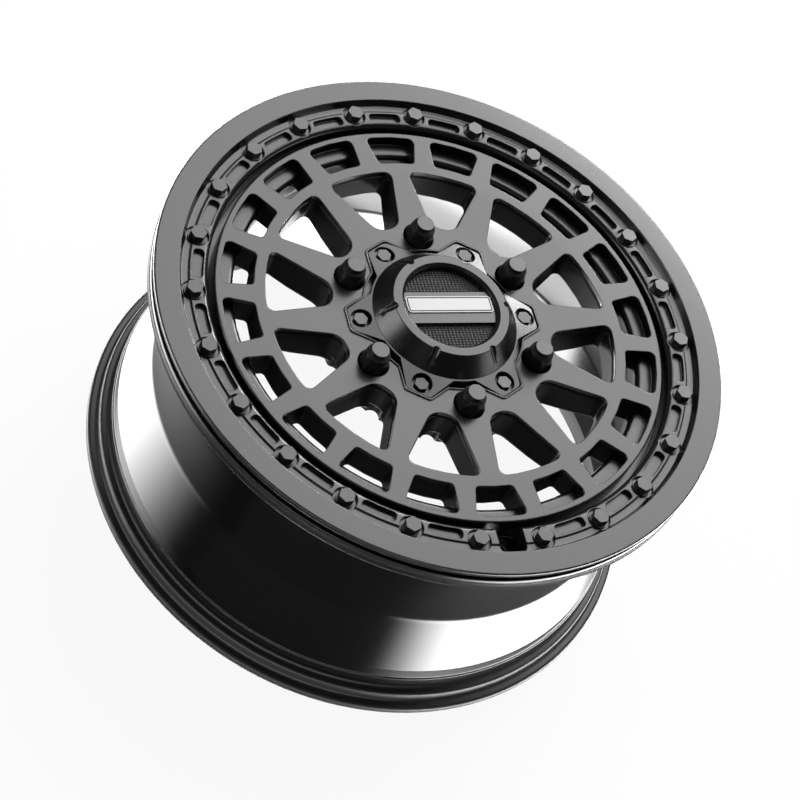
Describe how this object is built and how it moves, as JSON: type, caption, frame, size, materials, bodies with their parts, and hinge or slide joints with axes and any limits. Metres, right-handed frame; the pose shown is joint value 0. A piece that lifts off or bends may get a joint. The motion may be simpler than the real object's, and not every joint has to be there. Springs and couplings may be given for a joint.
{
  "type": "beadlock wheel",
  "caption": "Cast off-road beadlock wheel with a bolted clamp ring, a spoke disc with two rows of windows, lug nuts and a screwed-on centre cap.",
  "frame": {"origin": "on the wheel's axis, in the hub mounting face at the back of the disc", "axes": "+Z along the wheel's axis to the outboard side, the valve notch at -X"},
  "size_m": [0.4079, 0.408, 0.2028],
  "materials": {
    "body_paint": "satin",
    "ring_paint": "satin",
    "bolt_black": "satin",
    "nut_black": "gloss",
    "cap_paint": "satin",
    "screw_black": "satin",
    "mesh_black": "woven",
    "band_black": "gloss",
    "plate_metal": "brushed"
  },
  "bodies": {
    "root": {"wheel_body": "body_paint", "beadlock_ring": "ring_paint", "beadlock_bolts": "bolt_black", "lug_nuts": "nut_black", "centre_cap": "cap_paint", "cap_screws": "screw_black", "mesh_insert": "mesh_black", "cap_band": "band_black", "name_plate": "plate_metal"}
  },
  "joints": []
}
